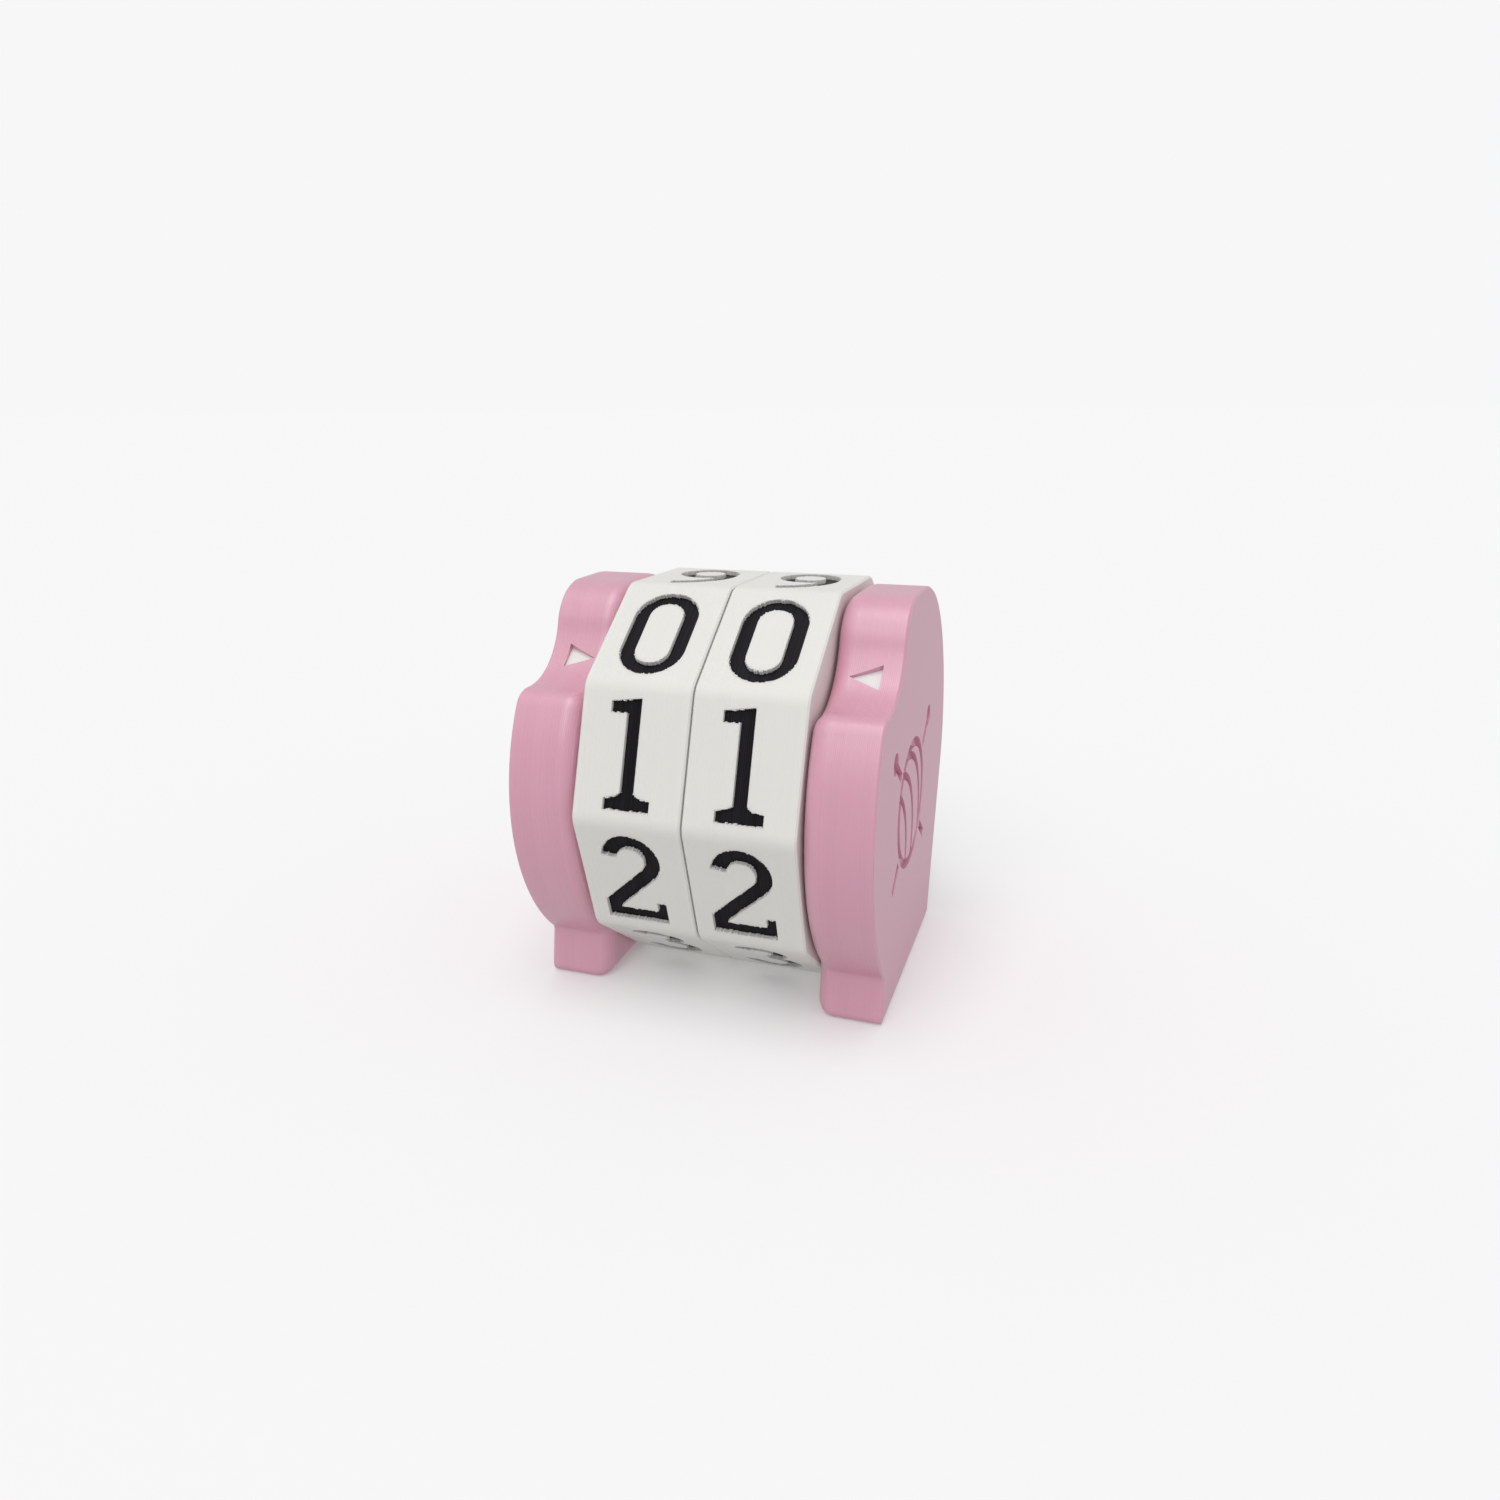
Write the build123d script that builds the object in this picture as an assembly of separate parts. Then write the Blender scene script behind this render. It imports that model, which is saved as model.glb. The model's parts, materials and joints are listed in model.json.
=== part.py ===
"""Desk row counter for knitting: two number rings turning between two side frames.

Frame of the part: X runs left to right along the axle, Y runs front to back, Z is up.
The origin is the centre of the overall box, on the surface that the counter stands on.
All sizes are in millimetres. Each sub-part is written to parts/NODE.step.
"""

from build123d import *
import math
import os

# ---------------------------------------------------------------- driving sizes
SEAM_GAP = 0.2               # gap between the two rings
RING_END_GAP = 0.25          # gap between a ring and the side frame beside it
FRAME_INNER_X = 12.2         # inner face of each side frame
FRAME_OUTER_X = 19.45        # outer face of each side frame
AXLE_HEIGHT = 22.25          # axle above the surface it stands on

# number rings
DIGITS = 10
STEP_DEG = 360.0 / DIGITS
RING_R = 23.1                # centre to corner of the ten-sided outline
CORNER_R = 2.5               # rounding of each corner of the outline
RING_CHAMFER = 0.2
TOP_DIGIT_DEG = 55.0         # facet 0 faces forward and this far above level
BORE_R = 12.0

# raised and sunk details of a facet
DIGIT_RECESS = 0.5           # from the facet down to the black inlay
INLAY_T = 0.7

# clicks: ten grooves in the bore, one sprung nose
NOSE_R = 1.5
GROOVE_R = 1.7
GROOVE_CENTRE_R = 11.4

# core
DRUM_R = 11.93
HEX_FLATS = 14.0
HEX_DEPTH = 5.3
POCKET_FLOOR = 8.0           # pocket floor, below the axle
POCKET_W = 6.6
POCKET_SPAN = 14.0
SPRING_W = 6.0
SPRING_T = 0.7
SPRING_HALF_SPAN = 6.6
SPRING_CROWN = 11.0          # outside of the arch, below the axle

# divider between the rings
DIVIDER_R = 15.0
DIVIDER_T = 1.0
DIVIDER_GAP = 0.25
SEAT_CLEARANCE = 0.3         # round the divider, inside the rings

# side frame outline, seen from the right, about the axle
FRONT_R = 22.6               # round front
TOP_Z = 21.9                 # flat top of the ear
BACK_Y = 18.0                # furthest back
BACK_Z = 1.0                 # height of the furthest back point
BACK_BEND_R = 12.0
BACK_LEAN = 15.0             # the lower back leans in by this angle
NOTCH_Y, NOTCH_Z, NOTCH_R = -17.2, 19.9, 7.6
EAR_R = 5.5
SHOULDER_R = 2.4
FOOT_FRONT_Y = -16.0
FOOT_TOP_Y = -15.0
FOOT_ROOT_Z = -17.1
CREASE_R = 1.0
TOE_R = 0.9
HEEL_R = 0.8
FOOT_INNER_R = 1.8           # rounding of the base towards the rings
FOOT_OUTER_R = 0.7           # rounding of the base along the outer face
END_CHAMFER = 0.2
EDGE_TOL = 0.1               # how close an edge has to be to be picked by its place

# pointers beside the rings
POINTER_DEG = 51.2           # above level, seen from the axle
POINTER_LEN = 3.3
POINTER_BASE = 2.9
POINTER_TIP_GAP = 1.9        # from the frame's inner face to the tip
POINTER_RECESS = 0.35
POINTER_T = 0.6

# yarn ball sunk in the right end face
BALL_Y, BALL_Z = -3.6, -1.2
BALL_R = 6.8
GROOVE_W = 1.1
GROOVE_DEPTH = 0.6
STRAND_W = 0.9
STRAND_R = 8.3
STRAND_SHIFT = 3.6           # from one strand to the next
NEEDLE_HALF = 11.5
NEEDLE_KNOB_R = 1.2
NEEDLE_LEANS = (38, 142)

# glyphs
STROKE = 1.75
HALF_H = 5.75

# worked out
EAR_CORNER_Y = NOTCH_Y + math.sqrt(NOTCH_R ** 2 - (TOP_Z - NOTCH_Z) ** 2)
APOTHEM = RING_R * math.cos(math.radians(STEP_DEG / 2))
RING_INNER_X = SEAM_GAP / 2
RING_OUTER_X = FRAME_INNER_X - RING_END_GAP
RING_W = RING_OUTER_X - RING_INNER_X

# the rings reach equally far to the front and back, past the side frames
AXLE = Pos(0, 0, AXLE_HEIGHT)


# ---------------------------------------------------------------- small helpers
def along_x(sketch, x0, x1):
    """Extrude a sketch drawn in (Y, Z) about the axle from x0 to x1."""
    return extrude(Pos(x0, 0, 0) * (Plane.YZ * sketch), x1 - x0, dir=(1, 0, 0))


def stroke(*edges, width=STROKE):
    """A band of even width along joined lines and arcs."""
    return trace(Curve() + list(edges), width)


def bar(x0, y0, x1, y1):
    """A rectangle between two corners."""
    return Pos((x0 + x1) / 2, (y0 + y1) / 2) * Rectangle(abs(x1 - x0), abs(y1 - y0))


def annulus(radius, width=STROKE, centre=(0, 0)):
    """A round band about a centre."""
    band = Circle(radius + width / 2) - Circle(radius - width / 2)
    return Pos(*centre) * band


def facet_plane(turn_deg, radius, x):
    """Plane facing away from the axle, turn_deg above level at the front, X to the right."""
    a = math.radians(turn_deg)
    normal = Vector(0, -math.cos(a), math.sin(a))
    return Plane(origin=Vector(x, 0, 0) + normal * radius, x_dir=(1, 0, 0), z_dir=normal)


# ---------------------------------------------------------------- glyphs, centred on (0, 0)
def glyph_0():
    outer = RectangleRounded(7.2, 2 * HALF_H, 3.5)
    inner = RectangleRounded(3.75, 2 * HALF_H - 3.2, 1.8)
    return outer - inner


def glyph_1():
    foot = [(-2.6, -HALF_H), (2.5, -HALF_H), (2.5, -4.55), (1.2, -4.3), (0.7, -3.9)]
    flag = [(0.7, HALF_H), (-2.65, 5.3), (-2.65, 4.1), (-0.85, 4.1)]
    root = [(-0.85, -3.9), (-1.35, -4.3), (-2.6, -4.55)]
    return Polygon(*foot, *flag, *root, align=None)


def glyph_2():
    r, cx, cy = 2.4, -0.1, 2.45
    neck = math.radians(-46)
    sx, sy = cx + r * math.cos(neck), cy + r * math.sin(neck)
    run = (sy + 4.9) / -math.sin(neck - math.pi / 2)
    end = (sx + run * math.cos(neck - math.pi / 2), -4.9)
    hook = CenterArc((cx, cy), r, 172, -218)
    line = stroke(hook, Line((sx, sy), end))
    base = bar(-3.9, -HALF_H, 3.05, -4.15) + bar(2.0, -HALF_H, 3.05, -3.0)
    return (line + base) & bar(-3.9, -HALF_H, 4.0, HALF_H)


def glyph_3():
    upper = stroke(CenterArc((-0.1, 2.85), 2.1, 160, -245))
    lower = stroke(CenterArc((-0.1, -2.3), 2.6, 85, -250))
    return upper + lower


def glyph_4():
    outer = Polygon((-3.3, -3.1), (2.3, -3.1), (2.3, 5.7), (0.9, 5.7), (-3.3, -1.6), align=None)
    inner = Polygon((-1.5, -1.5), (0.6, -1.5), (0.6, 2.1), align=None)
    return (outer - inner) + bar(0.6, -HALF_H, 2.3, -3.0) + bar(1.9, -3.1, 3.3, -1.5) \
        + bar(-0.5, -HALF_H, 3.4, -4.5)


def glyph_5():
    top = bar(-2.1, 4.2, 2.6, HALF_H)
    side = bar(-2.1, -0.1, -0.45, 4.5)
    bowl = stroke(CenterArc((-0.1, -2.2), 2.7, 132, -290))
    return top + side + bowl


def glyph_6():
    bowl = annulus(2.55, centre=(0, -2.35))
    arm = stroke(ThreePointArc((-2.55, -2.35), (-1.7, 2.5), (1.9, 4.95)))
    return bowl + arm


def glyph_7():
    top = bar(-3.0, 4.1, 3.1, HALF_H) + bar(-3.0, 2.8, -1.8, HALF_H)
    leg = stroke(ThreePointArc((2.3, 4.5), (0.2, 0.2), (-0.7, -HALF_H)))
    return top + leg


def glyph_8():
    return annulus(2.0, centre=(0, 2.9)) + annulus(2.5, centre=(0, -2.4))


def glyph_9():
    return Rot(0, 0, 180) * glyph_6()


GLYPHS = [glyph_0, glyph_1, glyph_2, glyph_3, glyph_4, glyph_5, glyph_6, glyph_7, glyph_8, glyph_9]


# ---------------------------------------------------------------- number rings
def digit_plane(digit, ring_x, depth):
    """Plane of one digit's facet, sunk by depth, for a ring centred at ring_x."""
    return facet_plane(TOP_DIGIT_DEG - STEP_DEG * digit, APOTHEM - depth, ring_x)


def digit_pocket(digit, ring_x):
    """The sunk shape of a digit, open at the facet."""
    floor = digit_plane(digit, ring_x, DIGIT_RECESS + INLAY_T)
    return extrude(floor * GLYPHS[digit](), DIGIT_RECESS + INLAY_T + 0.5)


def digit_inlay(digit, ring_x):
    """The black inlay that fills the lower part of a digit's pocket."""
    floor = digit_plane(digit, ring_x, DIGIT_RECESS + INLAY_T)
    return AXLE * extrude(floor * GLYPHS[digit](), INLAY_T)


def ring_outline():
    """Ten-sided outline with rounded corners, in (Y, Z)."""
    corners = []
    for k in range(DIGITS):
        a = math.radians(TOP_DIGIT_DEG + STEP_DEG * (k + 0.5))
        corners.append((-RING_R * math.cos(a), RING_R * math.sin(a)))
    outline = Polygon(*corners, align=None)
    return fillet(outline.vertices(), CORNER_R)


def number_ring(side):
    """One number ring; side is -1 for the left, tens ring and 1 for the right, units ring."""
    x0, x1 = sorted((side * RING_INNER_X, side * RING_OUTER_X))
    body = along_x(ring_outline(), x0, x1)
    ends = body.faces().filter_by(Axis.X).edges()
    body = chamfer(ends, RING_CHAMFER)
    bore = Circle(BORE_R)
    for k in range(DIGITS):
        a = math.radians(STEP_DEG * k - 90)
        bore += Pos(GROOVE_CENTRE_R * math.cos(a), GROOVE_CENTRE_R * math.sin(a)) * Circle(GROOVE_R)
    body -= along_x(bore, x0 - 1, x1 + 1)
    seat_r = DIVIDER_R + SEAT_CLEARANCE
    seat_x = DIVIDER_T / 2 + DIVIDER_GAP
    body -= along_x(Circle(seat_r), -seat_x, seat_x)
    ring_x = (x0 + x1) / 2
    for digit in range(DIGITS):
        body -= digit_pocket(digit, ring_x)
    return AXLE * body


# ---------------------------------------------------------------- core
def core_axle():
    """Drum that the rings turn on, with hexagonal ends and two spring pockets."""
    core = along_x(Circle(DRUM_R), -FRAME_INNER_X, FRAME_INNER_X)
    hexagon = RegularPolygon(HEX_FLATS / 2, 6, major_radius=False)
    reach = FRAME_INNER_X + HEX_DEPTH
    core += along_x(hexagon, -reach, reach)
    for side in (-1, 1):
        x = side * (RING_INNER_X + RING_W / 2)
        pocket = Pos(x, 0, -(POCKET_FLOOR + DRUM_R) / 2 - 0.5)
        core -= pocket * Box(POCKET_W, POCKET_SPAN, DRUM_R - POCKET_FLOOR + 1.0)
    return AXLE * core


def click_spring(side):
    """Arched leaf with a round nose that drops into the grooves of a ring."""
    rise = SPRING_CROWN - POCKET_FLOOR
    crown_r = (SPRING_HALF_SPAN ** 2 + rise ** 2) / (2 * rise)
    centre = Pos(0, crown_r - SPRING_CROWN)
    arch = centre * (Circle(crown_r) - Circle(crown_r - SPRING_T))
    reach = bar(-SPRING_HALF_SPAN, -POCKET_FLOOR, SPRING_HALF_SPAN, -SPRING_CROWN - 1)
    arch = arch & reach
    nose = Pos(0, -GROOVE_CENTRE_R) * Circle(NOSE_R)
    clear = centre * Circle(crown_r - SPRING_T)
    profile = arch + (nose - clear)
    x = side * (RING_INNER_X + RING_W / 2)
    return AXLE * along_x(profile, x - SPRING_W / 2, x + SPRING_W / 2)


def centre_divider():
    """Thin ring fixed on the drum that keeps one number ring from dragging the other."""
    return AXLE * along_x(Circle(DIVIDER_R) - Circle(DRUM_R), -DIVIDER_T / 2, DIVIDER_T / 2)


# ---------------------------------------------------------------- side frames
def back_outline():
    """Rear half of the side frame, behind the axle."""
    crown = EllipticalCenterArc((0, BACK_Z), BACK_Y, TOP_Z - BACK_Z, 90, arc_size=-90)
    bend = JernArc((BACK_Y, BACK_Z), (0, -1), BACK_BEND_R, -BACK_LEAN)
    start = bend @ 1
    heel_y = start.X - (start.Y + AXLE_HEIGHT) * math.tan(math.radians(BACK_LEAN))
    lower = Polyline(start, (heel_y, -AXLE_HEIGHT), (-5, -AXLE_HEIGHT), (-5, TOP_Z), (0, TOP_Z))
    return make_face([crown, bend, *lower.edges()])


def frame_outline():
    """Side frame seen from the right: round front, notch for the pointer, foot, flat base."""
    front = Circle(FRONT_R) & bar(-FRONT_R - 1, -AXLE_HEIGHT, -1, TOP_Z)
    front += bar(EAR_CORNER_Y - 1, NOTCH_Z, -1, TOP_Z)
    foot = Polygon((FOOT_TOP_Y, FOOT_ROOT_Z + 1), (FOOT_FRONT_Y, -AXLE_HEIGHT),
                   (0, -AXLE_HEIGHT), (0, FOOT_ROOT_Z + 1), align=None)
    outline = front + back_outline() + foot
    outline -= Pos(NOTCH_Y, NOTCH_Z) * Circle(NOTCH_R)
    return outline


def shoulder_corner():
    """Lower place where the notch meets the round front."""
    reach = math.hypot(NOTCH_Y, NOTCH_Z)
    along = (reach ** 2 + FRONT_R ** 2 - NOTCH_R ** 2) / (2 * reach)
    across = math.sqrt(FRONT_R ** 2 - along ** 2)
    unit_y, unit_z = NOTCH_Y / reach, NOTCH_Z / reach
    return along * unit_y - across * unit_z, along * unit_z + across * unit_y


def near(vertices, y, z):
    """The vertex of an outline closest to a place."""
    return sorted(vertices, key=lambda v: math.hypot(v.X - y, v.Y - z))[0]


def rounded_frame_outline():
    """Frame outline with its ear, shoulder, crease, toe and heel rounded."""
    outline = frame_outline()
    heel_y = max(v.X for v in outline.vertices() if v.Y < 1 - AXLE_HEIGHT)
    rounds = [
        (EAR_CORNER_Y, TOP_Z, EAR_R),
        (*shoulder_corner(), SHOULDER_R),
        (FOOT_TOP_Y, FOOT_ROOT_Z, CREASE_R),
        (FOOT_FRONT_Y, -AXLE_HEIGHT, TOE_R),
        (heel_y, -AXLE_HEIGHT, HEEL_R),
    ]
    for y, z, radius in rounds:
        outline = fillet(near(outline.vertices(), y, z), radius)
    return outline


def pointer_radius():
    """Distance from the axle to the notch floor at the pointer."""
    a = math.radians(POINTER_DEG)
    along = -NOTCH_Y * math.cos(a) + NOTCH_Z * math.sin(a)
    across = math.hypot(NOTCH_Y, NOTCH_Z) ** 2 - along ** 2
    return along - math.sqrt(NOTCH_R ** 2 - across)


def pointer_shape(side):
    """Triangle beside the notch centre, its tip towards the rings."""
    tip = side * POINTER_TIP_GAP
    base = side * (POINTER_TIP_GAP + POINTER_LEN)
    return Polygon((tip, 0), (base, POINTER_BASE / 2), (base, -POINTER_BASE / 2), align=None)


def pointer_block(side, height):
    """Pointer triangle as a block that stands on the floor of its pocket."""
    floor_r = pointer_radius() - POINTER_RECESS - POINTER_T
    plane = facet_plane(POINTER_DEG, floor_r, side * FRAME_INNER_X)
    return extrude(plane * pointer_shape(side), height, dir=plane.z_dir)


def pointer_inlay(side):
    """White inlay of a pointer."""
    return AXLE * pointer_block(side, POINTER_T)


def yarn_ball():
    """Generic ball of yarn with two needles, drawn as grooves."""
    ball = annulus(BALL_R, GROOVE_W)
    inside = Circle(BALL_R)
    for step in (-1, 0, 1):
        shift = step * STRAND_SHIFT
        centre = (shift - BALL_R, shift / 3 - BALL_R / 2)
        ball += annulus(STRAND_R, STRAND_W, centre) & inside
    outside = Circle(BALL_R + GROOVE_W)
    shaft = bar(-NEEDLE_HALF, -GROOVE_W / 2, NEEDLE_HALF, GROOVE_W / 2)
    knob = Pos(NEEDLE_HALF + NEEDLE_KNOB_R / 2, 0) * Circle(NEEDLE_KNOB_R)
    for lean in NEEDLE_LEANS:
        ball += Rot(0, 0, lean) * (shaft + knob) - outside
    return ball


def inner_base_edge(frame):
    """The straight edge of the base that is nearest to the rings."""
    flat = [e for e in frame.edges().filter_by(Axis.Y) if e.center().Z < EDGE_TOL - AXLE_HEIGHT]
    return [e for e in flat if abs(e.center().X) < FRAME_INNER_X + EDGE_TOL]


def outer_base_corner(side):
    """What the rounding of the base takes away along the outer face."""
    x, z, r = side * FRAME_OUTER_X, -AXLE_HEIGHT, FOOT_OUTER_R
    corner = bar(x - side * r, z, x + side, z + r) + bar(x - side * r, z - 1, x + side, z)
    corner -= Pos(x - side * r, z + r) * Circle(r)
    return extrude(Plane.XZ * corner, 2 * FRONT_R, both=True)


def side_frame(side):
    """One side frame; side is -1 for the left and 1 for the right."""
    x0, x1 = sorted((side * FRAME_INNER_X, side * FRAME_OUTER_X))
    frame = along_x(rounded_frame_outline(), x0, x1)
    outer_end = frame.faces().filter_by(Axis.X).sort_by(Axis.X)[-1 if side > 0 else 0]
    frame = chamfer(outer_end.edges(), END_CHAMFER)
    frame = fillet(inner_base_edge(frame), FOOT_INNER_R)
    frame -= outer_base_corner(side)
    socket = RegularPolygon(HEX_FLATS / 2, 6, major_radius=False)
    reach = side * (FRAME_INNER_X + HEX_DEPTH)
    s0, s1 = sorted((side * (FRAME_INNER_X - 1), reach))
    frame -= along_x(socket, s0, s1)
    frame -= pointer_block(side, POINTER_T + POINTER_RECESS + 2.5)
    if side > 0:
        mark = Pos(BALL_Y, BALL_Z) * yarn_ball()
        frame -= along_x(mark, FRAME_OUTER_X - GROOVE_DEPTH, FRAME_OUTER_X + 1)
    return AXLE * frame


# ---------------------------------------------------------------- the assembly
def build_parts():
    """Every node of the counter, by name."""
    nodes = {
        "left_side_frame": side_frame(-1),
        "right_side_frame": side_frame(1),
        "left_pointer_inlay": pointer_inlay(-1),
        "right_pointer_inlay": pointer_inlay(1),
        "core_axle": core_axle(),
        "centre_divider": centre_divider(),
        "tens_click_spring": click_spring(-1),
        "units_click_spring": click_spring(1),
        "tens_number_ring": number_ring(-1),
        "units_number_ring": number_ring(1),
    }
    for name, side in (("tens", -1), ("units", 1)):
        ring_x = side * (RING_INNER_X + RING_OUTER_X) / 2
        for digit in range(DIGITS):
            nodes[f"{name}_digit_{digit}"] = digit_inlay(digit, ring_x)
    return nodes


def write_parts(nodes):
    """Write each node to its own STEP file."""
    os.makedirs("parts", exist_ok=True)
    for name, shape in nodes.items():
        export_step(shape, f"parts/{name}.step")


write_parts(build_parts())
print("facet distance from the axle", round(APOTHEM, 3))
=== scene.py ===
"""Looks of the desk row counter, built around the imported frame.

The hard parts come from the frame and are dressed here. New pieces add what a printer
leaves behind: the ragged layer ends at the rims of the sunk digits.
All lengths are in metres, in the frame of the part.
"""
import json
import logging
import math
import random
from dataclasses import dataclass, field
from enum import Enum
from typing import Sequence, Union

import bmesh
import bpy
from mathutils import Matrix, Vector


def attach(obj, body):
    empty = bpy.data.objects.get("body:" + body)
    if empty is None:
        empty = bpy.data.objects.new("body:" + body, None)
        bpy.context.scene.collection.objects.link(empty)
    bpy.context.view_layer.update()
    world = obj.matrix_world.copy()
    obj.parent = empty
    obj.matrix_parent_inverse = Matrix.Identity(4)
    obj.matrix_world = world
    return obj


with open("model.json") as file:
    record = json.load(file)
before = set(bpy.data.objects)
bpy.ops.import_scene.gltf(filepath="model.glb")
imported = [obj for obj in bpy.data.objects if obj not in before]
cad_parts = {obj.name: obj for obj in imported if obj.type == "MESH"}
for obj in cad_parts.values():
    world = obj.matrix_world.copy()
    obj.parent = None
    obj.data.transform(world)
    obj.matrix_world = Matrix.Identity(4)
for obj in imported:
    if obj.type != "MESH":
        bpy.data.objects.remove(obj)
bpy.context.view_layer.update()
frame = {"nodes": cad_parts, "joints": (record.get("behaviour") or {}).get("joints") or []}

MM = 0.001
LAYER = 0.2 * MM  # height of one printed layer
DIGITS = 10
STEP = math.radians(360 / DIGITS)  # from one digit of a ring to the next
LOG = logging.getLogger("row_counter")

Number = Union[int, float]
Operand = Union["Field", Number]


def axle_place() -> Vector:
    """Point on the axle in the middle of the counter, read from the joints."""
    turn = frame["joints"][0]["pos_m"]
    return Vector((0.0, turn[1], turn[2]))


AXLE = axle_place()


# ------------------------------------------------------------------ shader maths
class Field:
    """A number that varies over a surface; Python operators add Math nodes to its tree."""

    def __init__(self, tree: "ShaderTree", socket: bpy.types.NodeSocket) -> None:
        """Wrap a socket.

        Args:
            tree: the shader tree that owns the socket.
            socket: an output socket that carries a number.
        """
        self.tree = tree
        self.socket = socket

    def math(self, operation: str, *others: Operand) -> "Field":
        """Math node that has this field as its first input."""
        return self.tree.math(operation, self, *others)

    def __add__(self, other: Operand) -> "Field":
        """Sum."""
        return self.tree.math("ADD", self, other)

    __radd__ = __add__

    def __sub__(self, other: Operand) -> "Field":
        """Difference."""
        return self.tree.math("SUBTRACT", self, other)

    def __rsub__(self, other: Operand) -> "Field":
        """Reflected difference."""
        return self.tree.math("SUBTRACT", other, self)

    def __mul__(self, other: Operand) -> "Field":
        """Product."""
        return self.tree.math("MULTIPLY", self, other)

    __rmul__ = __mul__

    def __truediv__(self, other: Operand) -> "Field":
        """Quotient."""
        return self.tree.math("DIVIDE", self, other)

    def __abs__(self) -> "Field":
        """Size without sign."""
        return self.math("ABSOLUTE")

    def floor(self) -> "Field":
        """Whole part."""
        return self.math("FLOOR")

    def fract(self) -> "Field":
        """Part after the point."""
        return self.math("FRACT")

    def smooth(self, low: float, high: float) -> "Field":
        """Smooth step between two values.

        Args:
            low: value up to which the step is 0.
            high: value from which the step is 1.

        Returns:
            The step, from 0 to 1.
        """
        made = self.tree.node(
            "ShaderNodeMapRange",
            {"interpolation_type": "SMOOTHSTEP"},
            {"Value": self, "From Min": low, "From Max": high},
        )
        return Field(self.tree, made.outputs["Result"])


class ShaderTree:
    """A material's node tree, with one method for each kind of thing that is added to it."""

    def __init__(self, name: str) -> None:
        """Make a material and clear its nodes.

        Args:
            name: the material's name.
        """
        self.material = bpy.data.materials.new(name)
        self.material.use_nodes = True
        self.nodes = self.material.node_tree.nodes
        self.links = self.material.node_tree.links
        self.nodes.clear()

    def node(self, kind: str, settings: dict, inputs: dict) -> bpy.types.Node:
        """Add a node.

        Args:
            kind: the node's type name.
            settings: attributes that are set before the sockets.
            inputs: values, sockets or fields for the node's input sockets, by name or number.

        Returns:
            The new node.
        """
        made = self.nodes.new(kind)
        for key, value in settings.items():
            setattr(made, key, value)
        for key, value in inputs.items():
            if isinstance(value, Field):
                value = value.socket
            if isinstance(value, bpy.types.NodeSocket):
                self.links.new(value, made.inputs[key])
            else:
                made.inputs[key].default_value = value
        return made

    def math(self, operation: str, *operands: Operand) -> Field:
        """Math node over one to three operands."""
        made = self.node("ShaderNodeMath", {"operation": operation}, dict(enumerate(operands)))
        return Field(self, made.outputs["Value"])

    def place(self) -> tuple[bpy.types.NodeSocket, Field, Field, Field]:
        """Read the place on the piece.

        Returns:
            Object coordinates as a vector, and its three parts.
        """
        where = self.node("ShaderNodeTexCoord", {}, {}).outputs["Object"]
        parts = self.node("ShaderNodeSeparateXYZ", {}, {"Vector": where}).outputs
        return where, Field(self, parts["X"]), Field(self, parts["Y"]), Field(self, parts["Z"])

    def facing_x(self) -> Field:
        """Read how squarely the surface faces left or right.

        Returns:
            0 on a surface that runs along the axle, 1 on a flat end face.
        """
        normal = self.node("ShaderNodeTexCoord", {}, {}).outputs["Normal"]
        parts = self.node("ShaderNodeSeparateXYZ", {}, {"Vector": normal}).outputs
        return abs(Field(self, parts["X"]))

    def vector(self, x: Operand, y: Operand, z: Operand) -> bpy.types.NodeSocket:
        """Join three numbers into a vector."""
        made = self.node("ShaderNodeCombineXYZ", {}, {"X": x, "Y": y, "Z": z})
        return made.outputs["Vector"]

    def noise(self, where: bpy.types.NodeSocket, scale: float, detail: float = 2.0) -> Field:
        """Smooth noise over a vector.

        Args:
            where: the vector.
            scale: how many bumps of noise fit in one unit of the vector.
            detail: how many finer noises are added.

        Returns:
            The noise, from 0 to 1.
        """
        made = self.node(
            "ShaderNodeTexNoise",
            {"noise_dimensions": "3D"},
            {"Vector": where, "Scale": scale, "Detail": detail, "Roughness": 0.55},
        )
        return Field(self, made.outputs["Fac"])

    def chance(self, seed: Field) -> Field:
        """Random number from 0 to 1 that depends on one number only."""
        made = self.node("ShaderNodeTexWhiteNoise", {"noise_dimensions": "1D"}, {"W": seed})
        return Field(self, made.outputs["Value"])

    def darken(self, colour: Sequence[float], share: Operand) -> bpy.types.NodeSocket:
        """Take a varying share of a colour away.

        Args:
            colour: the colour, linear.
            share: how much of it goes, from 0 to 1.

        Returns:
            The darker colour.
        """
        colours = {6: (*colour, 1.0), 7: (0.0, 0.0, 0.0, 1.0)}
        made = self.node("ShaderNodeMix", {"data_type": "RGBA"}, {0: share, **colours})
        return made.outputs[2]

    def finish(self, surface: bpy.types.NodeSocket) -> bpy.types.Material:
        """Join a shader to the output and hand the material over."""
        self.node("ShaderNodeOutputMaterial", {}, {"Surface": surface})
        return self.material


# ------------------------------------------------------------------ finishes
BAND_SEED = 40.5  # keeps the bands' random numbers apart from the layers'
LAYER_ROUGHNESS = 0.05  # how much single layers differ in roughness
CREST_SHARE = 0.5  # how much single layers differ in height, as a share of the ridge
SPECK_SHARE = 0.8  # depth of the specks of an end face, as a share of the grain


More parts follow.
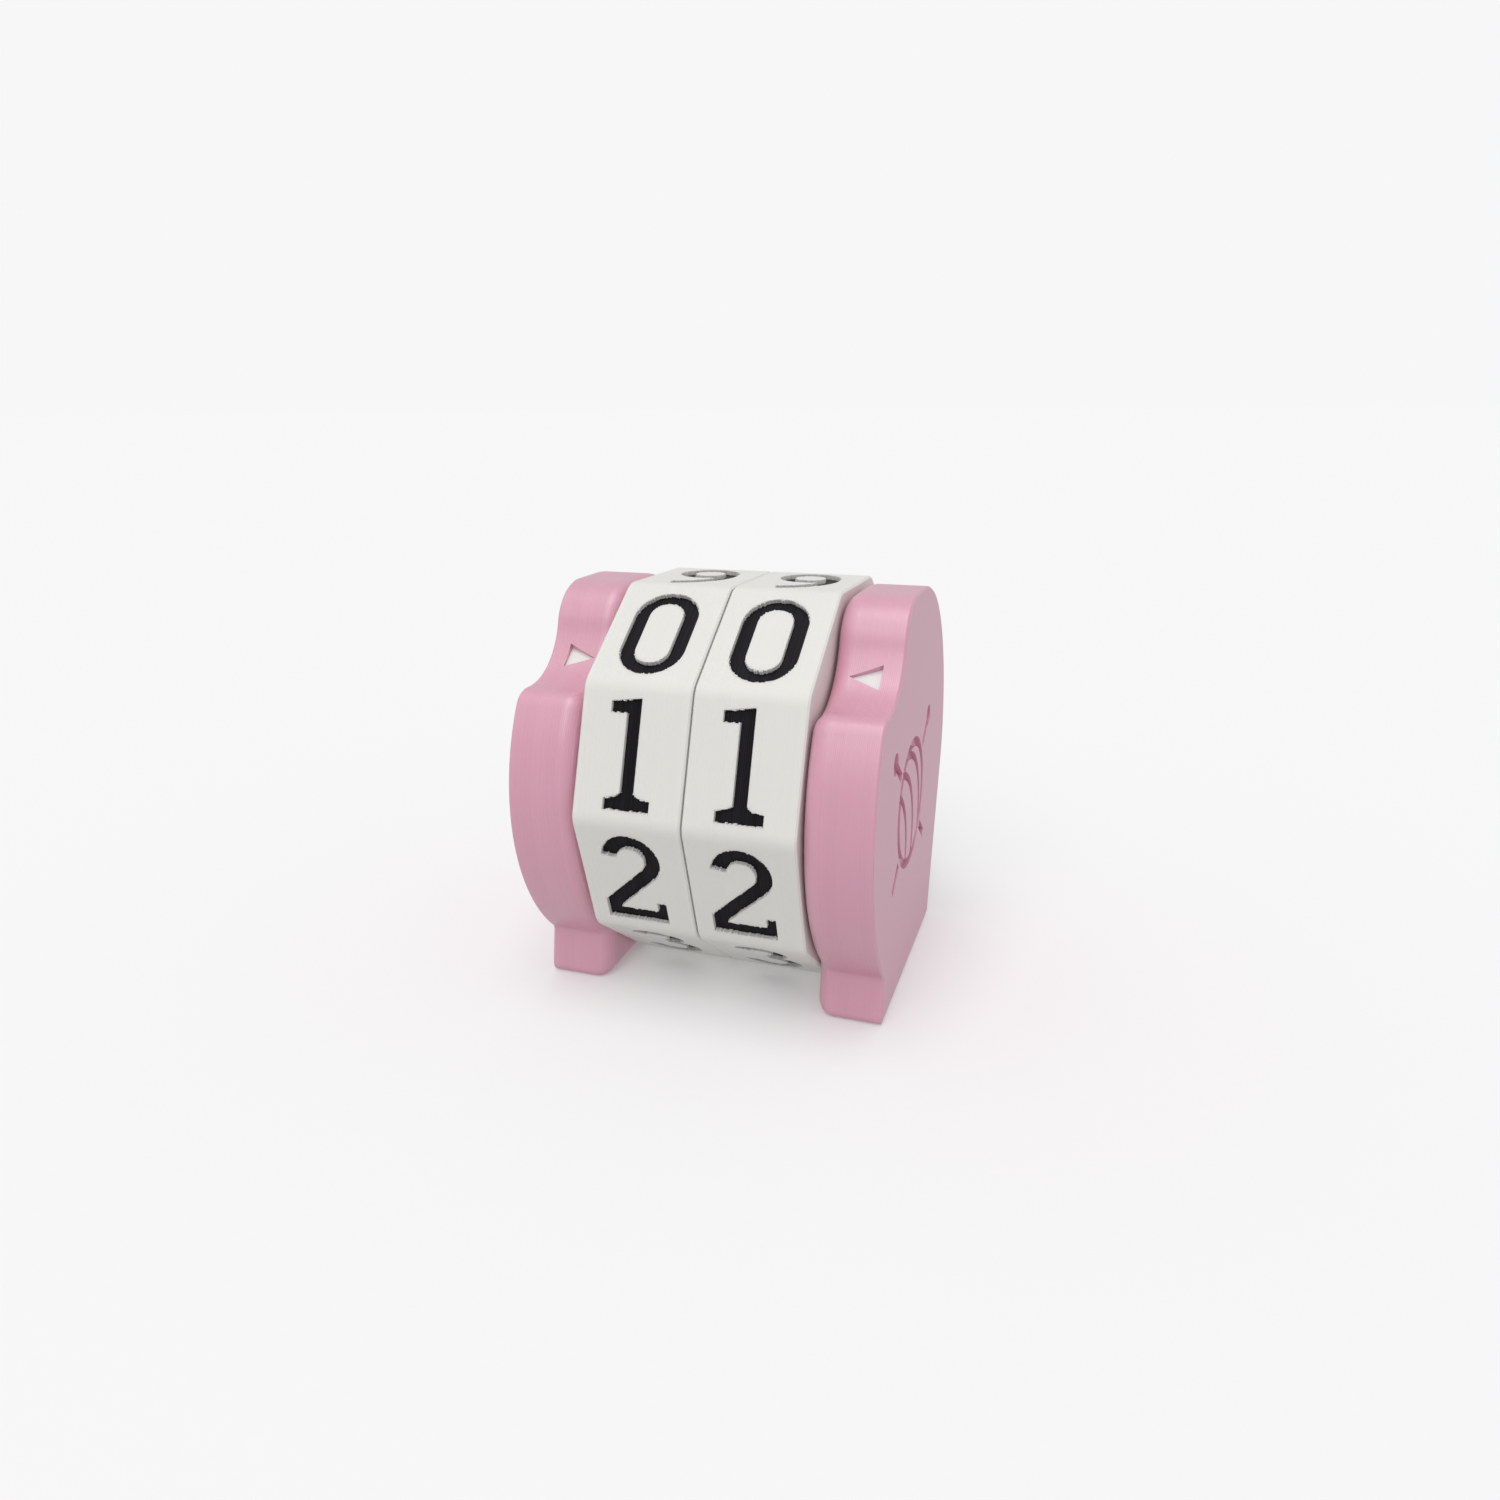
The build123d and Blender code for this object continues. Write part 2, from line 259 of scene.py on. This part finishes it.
@dataclass(frozen=True)
class PrintedPlastic:
    """Plastic laid down in layers that are stacked along the axle.

    Attributes:
        name: the material's name.
        colour: colour of the crests, linear.
        valley: how much of the colour is left in the groove between two layers; that darkening
            is painted shade.
        streak: how much single layers differ in brightness.
        mottle: how much broad patches differ in brightness.
        layer: height of one layer.
        ridge: depth of the groove between two layers.
        grain: depth of the fine unevenness along a layer.
        roughness: roughness of the wall of layers.
        end_roughness: roughness of the flat end faces.
        drift: how much the roughness changes along a layer.
        shine: specular level.
        coat: strength of the softer second gloss that the layer crests add.
        glow_through: share of light that spreads through the plastic.
        coat_roughness: roughness of the second gloss.
        spread: how far light spreads through the plastic.
        tint: how far each of red, green and blue spreads, as a share of that.
        end_facing: how squarely a surface faces left or right where the wall of layers
            ends, and where the flat end face begins.
        band: how many layers share a slight difference in brightness.
        band_share: that difference, as a share of the streak.
        course: how far the drift moves on from one layer to the next.
        drift_scale: bumps of drift in a millimetre.
        patch_scale: broad patches in a metre.
        speck_scale: specks of an end face in a metre.
        bump: strength of the relief.
    """

    name: str
    colour: tuple[float, float, float]
    valley: float = 0.9
    streak: float = 0.05
    mottle: float = 0.04
    layer: float = LAYER
    ridge: float = 0.018 * MM
    grain: float = 0.012 * MM
    roughness: float = 0.46
    end_roughness: float = 0.6
    drift: float = 0.14
    shine: float = 0.5
    coat: float = 0.0
    glow_through: float = 0.0
    coat_roughness: float = 0.42
    spread: float = 0.6 * MM
    tint: tuple[float, float, float] = (1.0, 1.0, 0.9)
    end_facing: tuple[float, float] = (0.9, 0.985)
    band: float = 3.0
    band_share: float = 0.6
    course: float = 0.37
    drift_scale: float = 0.9
    patch_scale: float = 140.0
    speck_scale: float = 5200.0
    bump: float = 0.8

    def build(self) -> bpy.types.Material:
        """Make the material.

        Returns:
            The material, its patterns set out in object coordinates.
        """
        tree = ShaderTree(self.name)
        where, x, y, z = tree.place()
        end = tree.facing_x().smooth(*self.end_facing)
        wall = 1.0 - end

        count = x / self.layer
        layer = count.floor()
        sweep = count.fract() * 2.0 - 1.0
        groove = (sweep * sweep).math("POWER", 2.0)
        pick = tree.chance(layer)
        band = tree.chance((count / self.band).floor() + BAND_SEED)
        course = tree.vector(layer * self.course, y / MM, z / MM)
        along = tree.noise(course, self.drift_scale, 3.0)
        patch = tree.noise(where, self.patch_scale)
        speck = tree.noise(where, self.speck_scale, 1.0)

        # painted shade: the colour is darkened in the groove between two layers, where shade
        # falls; the bump below gives the same groove its relief
        painted_groove_shade = groove * (1.0 - self.valley)
        streaks = pick * self.streak + band * self.streak * self.band_share
        # the painted groove shade and the random tone of single layers and bands darken the
        # walls only; broad patches and end-face specks are random tone
        shade = wall * (painted_groove_shade + streaks)
        shade = shade + (patch - 0.5) * self.mottle + end * (speck - 0.5) * self.mottle
        worn = self.roughness + (along - 0.5) * self.drift + pick * LAYER_ROUGHNESS
        rough = wall * worn + end * self.end_roughness

        crests = pick * self.ridge * CREST_SHARE + along * self.grain
        relief = wall * (crests - groove * self.ridge) + end * speck * self.grain * SPECK_SHARE
        heights = {"Height": relief / self.ridge, "Distance": self.ridge}
        bump = tree.node("ShaderNodeBump", {}, {**heights, "Strength": self.bump})
        shader = tree.node(
            "ShaderNodeBsdfPrincipled",
            {},
            {
                "Base Color": tree.darken(self.colour, shade),
                "Roughness": rough,
                "Normal": bump.outputs["Normal"],
                "Specular IOR Level": self.shine,
                "Coat Weight": self.coat,
                "Coat Roughness": self.coat_roughness,
                "Subsurface Weight": self.glow_through,
                "Subsurface Radius": self.tint,
                "Subsurface Scale": self.spread,
            },
        )
        return tree.finish(shader.outputs["BSDF"])


@dataclass(frozen=True)
class StudioPaper:
    """Pale matt paper that the counter stands on.

    Attributes:
        name: the material's name.
        seen: brightness of the paper itself.
        seen_glow: light that it gives off where it is seen, which keeps its shadows faint.
        bounce: brightness of the paper for the light that it throws back at the counter.
        bounce_glow: light that it gives off towards the counter.
        fibre_scale: fibres in a metre.
        fibre_depth: how much darker a fibre is.
    """

    name: str = "studio_paper"
    seen: float = 0.78
    seen_glow: float = 0.155
    bounce: float = 0.43
    bounce_glow: float = 0.23
    fibre_scale: float = 900.0
    fibre_depth: float = 0.012

    def sheet(self, tree: ShaderTree, level: float, glow: float) -> bpy.types.NodeSocket:
        """Make one version of the paper, with a faint fibre pattern.

        Args:
            tree: the shader tree that it is made in.
            level: brightness of the paper.
            glow: light that it gives off.

        Returns:
            The shader.
        """
        fibre = tree.noise(tree.place()[0], self.fibre_scale, 3.0)
        shader = tree.node(
            "ShaderNodeBsdfPrincipled",
            {},
            {
                "Base Color": tree.darken((level, level, level), fibre * self.fibre_depth),
                "Roughness": 0.9,
                "Specular IOR Level": 0.0,
                "Emission Color": (1, 1, 1, 1),
                "Emission Strength": glow,
            },
        )
        return shader.outputs["BSDF"]

    def build(self) -> bpy.types.Material:
        """Make the material.

        Returns:
            Paper that is bright where it is seen, and dimmer as a source of bounced light.
        """
        tree = ShaderTree(self.name)
        path = tree.node("ShaderNodeLightPath", {}, {})
        bounced = self.sheet(tree, self.bounce, self.bounce_glow)
        seen = self.sheet(tree, self.seen, self.seen_glow)
        choice = {0: path.outputs["Is Camera Ray"], 1: bounced, 2: seen}
        mix = tree.node("ShaderNodeMixShader", {}, choice)
        return tree.finish(mix.outputs["Shader"])


class Finish(Enum):
    """The finishes of the counter."""

    PINK = PrintedPlastic(
        name="pink_print",
        colour=(0.735, 0.35, 0.47),
        # light painted shade in the grooves between the pink layers
        valley=0.93,
        streak=0.035,
        roughness=0.33,
        end_roughness=0.45,
        shine=1.0,
        coat=0.8,
        glow_through=0.2,
    )
    WHITE = PrintedPlastic(
        # faint painted shade in the grooves between the white layers
        name="white_print",
        colour=(0.805, 0.80, 0.765),
        valley=0.96,
        streak=0.012,
        mottle=0.02,
        drift=0.05,
        glow_through=0.5,
    )
    BLACK = PrintedPlastic(
        name="black_print",
        colour=(0.017, 0.015, 0.02),
        # strong painted shade in the grooves between the black layers
        valley=0.25,
        streak=0.4,
        ridge=0.03 * MM,
        roughness=0.42,
        shine=0.12,
    )
    POINTER = PrintedPlastic(
        name="pointer_print", colour=(0.86, 0.84, 0.83), streak=0.02, glow_through=0.35
    )
    CORE = PrintedPlastic(name="core_print", colour=(0.7, 0.69, 0.66), streak=0.03)
    SPRING = PrintedPlastic(name="spring_print", colour=(0.55, 0.55, 0.55), streak=0.03)


class FinishShelf:
    """Builds each finish once and hands it out."""

    def __init__(self) -> None:
        """Start with no material made."""
        self.made: dict[str, bpy.types.Material] = {}

    def get(self, finish: Finish) -> bpy.types.Material:
        """Look up a finish.

        Args:
            finish: the finish.

        Returns:
            Its material.
        """
        if finish.name not in self.made:
            self.made[finish.name] = finish.value.build()
        return self.made[finish.name]


SHELF = FinishShelf()


def dress(node: str, finish: Finish) -> None:
    """Give a node of the frame its finish.

    Args:
        node: the node's name.
        finish: the finish that it takes.
    """
    mesh = frame["nodes"][node].data
    mesh.materials.clear()
    mesh.materials.append(SHELF.get(finish))
    LOG.info("dressed %s in %s", node, finish.value.name)


# ------------------------------------------------------------------ modelling helpers
def deselect_all() -> None:
    """Leave object mode with nothing selected."""
    if bpy.context.mode != "OBJECT":
        bpy.ops.object.mode_set(mode="OBJECT")
    bpy.ops.object.select_all(action="DESELECT")


# ------------------------------------------------------------------ number rings
@dataclass
class LayerTooth:
    """One ragged layer end at the rim of a sunk digit.

    Attributes:
        width: how wide a tooth is along the axle.
        depth: how deep it is, from just under the facet down to the black inlay.
        root: how far it reaches back into the white of the ring.
        bevel: how much of its tip is cut off at each corner.
    """

    width: float = 0.19 * MM
    depth: float = 0.48 * MM
    root: float = 0.06 * MM
    bevel: float = 0.3

    def build(self) -> bpy.types.Mesh:
        """Model a tooth of unit size that points along +Y, its root at the origin.

        Returns:
            The mesh that every tooth is copied from.
        """
        deselect_all()
        bpy.ops.mesh.primitive_cube_add(size=1.0, location=(0, 0, 0))
        tooth = bpy.context.active_object
        tooth.name = "layer_tooth"
        bpy.ops.object.mode_set(mode="EDIT")
        bpy.ops.mesh.select_all(action="SELECT")
        bpy.ops.transform.translate(value=(0, 0.5, 0))
        bpy.ops.mesh.select_mode(type="EDGE")
        bpy.ops.mesh.select_all(action="DESELECT")
        bpy.ops.object.mode_set(mode="OBJECT")
        for edge in tooth.data.edges:
            ends = [tooth.data.vertices[i].co for i in edge.vertices]
            edge.select = all(end.y > 0.9 for end in ends) and abs(ends[0].x - ends[1].x) < 0.1
        bpy.ops.object.mode_set(mode="EDIT")
        bpy.ops.mesh.bevel(offset=self.bevel, offset_type="OFFSET", segments=1, affect="EDGES")
        bpy.ops.object.mode_set(mode="OBJECT")
        mesh = tooth.data.copy()
        bpy.data.objects.remove(tooth)
        return mesh


@dataclass
class NumberRing:
    """A number ring with its ten digits.

    Attributes:
        name: tens or units.
        layer: height of one printed layer.
        longest: how far the longest tooth reaches into a digit.
    """

    name: str
    layer: float = LAYER
    longest: float = 0.17 * MM

    def __post_init__(self) -> None:
        """Name the body and the digit nodes of this ring."""
        self.body = f"{self.name}_ring"
        self.digits = [f"{self.name}_digit_{number}" for number in range(DIGITS)]

    def facet_axes(self, number: int) -> tuple[Vector, Vector]:
        """Find the directions of a digit's facet.

        Args:
            number: the digit.

        Returns:
            The directions out of the facet and up along it.
        """
        turn = self.first_turn() - STEP * number
        outward = Vector((0, -math.cos(turn), math.sin(turn)))
        upward = Vector((0, math.sin(turn), math.cos(turn)))
        return outward, upward

    def first_turn(self) -> float:
        """Find the angle of facet 0 above level, from the shape of its inlay.

        Returns:
            The angle in radians.
        """
        mesh = frame["nodes"][self.digits[0]].data
        total = Vector()
        for face in mesh.polygons:
            normal = face.normal
            from_axle = face.center - AXLE
            if abs(normal.x) < 0.1 and normal.dot(from_axle.normalized()) > 0.9:
                total += normal * face.area
        return math.atan2(total.z, -total.y)

    def rims(self, number: int) -> list[tuple[float, float, int]]:
        """Where each printed layer meets the rim of a digit.

        Args:
            number: the digit.

        Returns:
            Rows of x, height up the facet, and 1 or -1 for the way into the digit.
        """
        outward, upward = self.facet_axes(number)
        shape = bmesh.new()
        shape.from_mesh(frame["nodes"][self.digits[number]].data)
        bmesh.ops.remove_doubles(shape, verts=shape.verts, dist=1e-7)
        top = {face.index for face in shape.faces if face.normal.dot(outward) > 0.99}
        edges = []
        for edge in shape.edges:
            if sum(face.index in top for face in edge.link_faces) == 1:
                edges.append([(v.co.x, (v.co - AXLE).dot(upward)) for v in edge.verts])
        shape.free()
        rows = []
        low = min(end[0] for edge in edges for end in edge)
        high = max(end[0] for edge in edges for end in edge)
        for count in range(math.ceil(low / self.layer), math.floor(high / self.layer) + 1):
            x = (count - 0.5) * self.layer
            cuts = sorted(
                a[1] + (b[1] - a[1]) * (x - a[0]) / (b[0] - a[0])
                for a, b in edges
                if (a[0] - x) * (b[0] - x) < 0
            )
            rows += [(x, cut, 1 if place % 2 == 0 else -1) for place, cut in enumerate(cuts)]
        return rows

    def ragged_rims(self) -> bpy.types.Object:
        """Add the ragged layer ends at the rims of the ten digits.

        Returns:
            One piece with every tooth.
        """
        tooth = LayerTooth()
        pattern = tooth.build()
        dice = random.Random(f"{self.name} rims")
        joined = bmesh.new()
        for number in range(DIGITS):
            outward, upward = self.facet_axes(number)
            mesh = frame["nodes"][self.digits[number]].data
            floor = max((v.co - AXLE).dot(outward) for v in mesh.vertices)
            for x, height, way in self.rims(number):
                reach = tooth.root + self.longest * dice.random() ** 2
                start = AXLE + Vector((x, 0, 0)) + upward * (height - way * tooth.root)
                middle = start + outward * (floor + tooth.depth / 2)
                turn = Matrix((Vector((1, 0, 0)), upward * way, outward)).transposed().to_4x4()
                size = Matrix.Diagonal((tooth.width, reach, tooth.depth, 1))
                copy = pattern.copy()
                copy.transform(Matrix.Translation(middle) @ turn @ size)
                joined.from_mesh(copy)
                bpy.data.meshes.remove(copy)
        bmesh.ops.recalc_face_normals(joined, faces=joined.faces)
        mesh = bpy.data.meshes.new(f"{self.name}_digit_rims")
        joined.to_mesh(mesh)
        joined.free()
        piece = bpy.data.objects.new(f"{self.name}_digit_rims", mesh)
        bpy.context.scene.collection.objects.link(piece)
        mesh.materials.append(SHELF.get(Finish.WHITE))
        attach(piece, self.body)
        LOG.info("%s: %d faces of ragged rim", piece.name, len(mesh.polygons))
        return piece

    def build(self) -> None:
        """Dress the ring and its digits and add the rims."""
        dress(f"{self.name}_number_ring", Finish.WHITE)
        for node in self.digits:
            dress(node, Finish.BLACK)
        self.ragged_rims()


# ------------------------------------------------------------------ frame and core
@dataclass
class SideFrame:
    """A side frame with its pointer.

    Attributes:
        side: left or right.
    """

    side: str

    def build(self) -> None:
        """Dress the frame and its pointer."""
        dress(f"{self.side}_side_frame", Finish.PINK)
        dress(f"{self.side}_pointer_inlay", Finish.POINTER)


@dataclass
class Core:
    """The hidden core, its divider and the click springs.

    Attributes:
        hard: nodes that don't bend.
        springs: nodes that bend at each click.
    """

    hard: tuple[str, ...] = ("core_axle", "centre_divider")
    springs: tuple[str, ...] = ("tens_click_spring", "units_click_spring")

    def build(self) -> None:
        """Dress the hidden parts."""
        for node in self.hard:
            dress(node, Finish.CORE)
        for node in self.springs:
            dress(node, Finish.SPRING)


# ------------------------------------------------------------------ studio
@dataclass(frozen=True)
class Lamp:
    """A broad soft light in front of the counter.

    Attributes:
        name: the lamp's name.
        elevation: height above level in degrees, as seen from the counter.
        power: strength.
        spread: how wide the lamp looks from the counter, in degrees.
    """

    name: str
    elevation: float
    power: float
    spread: float

    def hang(self) -> None:
        """Add the lamp to the scene."""
        angle = math.radians(self.elevation)
        away = Vector((0, -math.cos(angle), math.sin(angle)))
        data = bpy.data.lights.new(f"{self.name}_lamp", "SUN")
        data.angle = math.radians(self.spread)
        data.energy = self.power
        lamp = bpy.data.objects.new(f"{self.name}_lamp", data)
        lamp.rotation_euler = (-away).to_track_quat("-Z", "Y").to_euler()
        bpy.context.scene.collection.objects.link(lamp)


@dataclass
class Studio:
    """Floor, light and camera round the counter.

    Attributes:
        floor_radius: radius of the sheet of paper.
        floor_sides: number of sides of its outline.
        backdrop: brightness of the backdrop behind it.
        sky: brightness of the even light from all round.
        lamps: the lamps in front.
        camera_offset: place of the camera, from the middle of the axle.
        azimuth: how far the camera is turned to the left, in degrees.
        elevation: how far it looks down, in degrees.
        roll: how far it leans, in degrees.
        lens: its focal length in millimetres.
        nearest: where its view begins.
        furthest: where its view ends.
    """

    floor_radius: float = 20.0
    floor_sides: int = 96
    backdrop: float = 0.93
    sky: float = 0.6
    lamps: tuple[Lamp, ...] = (Lamp("front", 44.0, 0.7, 40.0), Lamp("top", 80.0, 0.8, 34.0))
    camera_offset: Vector = field(default_factory=lambda: Vector((38.07, -113.43, 40.42)) * MM)
    azimuth: float = 18.74
    elevation: float = 17.86
    roll: float = -0.35
    lens: float = 25.62
    nearest: float = 5 * MM
    furthest: float = 50.0

    def floor(self) -> None:
        """Lay a pale round floor under the counter."""
        deselect_all()
        bpy.ops.mesh.primitive_circle_add(
            vertices=self.floor_sides, radius=self.floor_radius, fill_type="NGON"
        )
        sheet = bpy.context.active_object
        sheet.name = "studio_floor"
        sheet.data.materials.append(StudioPaper().build())

    def sky_light(self) -> None:
        """Even white light from all round; the camera sees it as a pale backdrop."""
        world = bpy.data.worlds.new("studio_sky")
        bpy.context.scene.world = world
        world.use_nodes = True
        nodes, links = world.node_tree.nodes, world.node_tree.links
        nodes.clear()
        path = nodes.new("ShaderNodeLightPath")
        light = nodes.new("ShaderNodeBackground")
        light.inputs["Strength"].default_value = self.sky
        shown = nodes.new("ShaderNodeBackground")
        shown.inputs["Strength"].default_value = self.backdrop
        for background in (light, shown):
            background.inputs["Color"].default_value = (1, 1, 1, 1)
        mix = nodes.new("ShaderNodeMixShader")
        links.new(path.outputs["Is Camera Ray"], mix.inputs[0])
        links.new(light.outputs[0], mix.inputs[1])
        links.new(shown.outputs[0], mix.inputs[2])
        output = nodes.new("ShaderNodeOutputWorld")
        links.new(mix.outputs[0], output.inputs["Surface"])

    def camera(self) -> None:
        """Set the camera up in front, to the right and above."""
        data = bpy.data.cameras.new("camera")
        data.lens = self.lens
        data.clip_start = self.nearest
        data.clip_end = self.furthest
        eye = bpy.data.objects.new("camera", data)
        turn = Matrix.Rotation(math.radians(self.azimuth), 4, "Z")
        tilt = Matrix.Rotation(math.radians(90.0 - self.elevation), 4, "X")
        lean = Matrix.Rotation(math.radians(self.roll), 4, "Z")
        eye.matrix_world = Matrix.Translation(AXLE + self.camera_offset) @ turn @ tilt @ lean
        bpy.context.scene.collection.objects.link(eye)
        bpy.context.scene.camera = eye

    def build(self) -> None:
        """Put the whole studio together."""
        self.camera()
        self.floor()
        self.sky_light()
        for lamp in self.lamps:
            lamp.hang()
        bpy.context.scene.view_settings.view_transform = "Standard"


def main() -> None:
    """Build the studio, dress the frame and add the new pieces."""
    logging.basicConfig(level=logging.INFO, format="%(name)s: %(message)s")
    Studio().build()
    for side in ("left", "right"):
        SideFrame(side).build()
    Core().build()
    for name in ("tens", "units"):
        NumberRing(name).build()


if __name__ == "__main__":
    main()
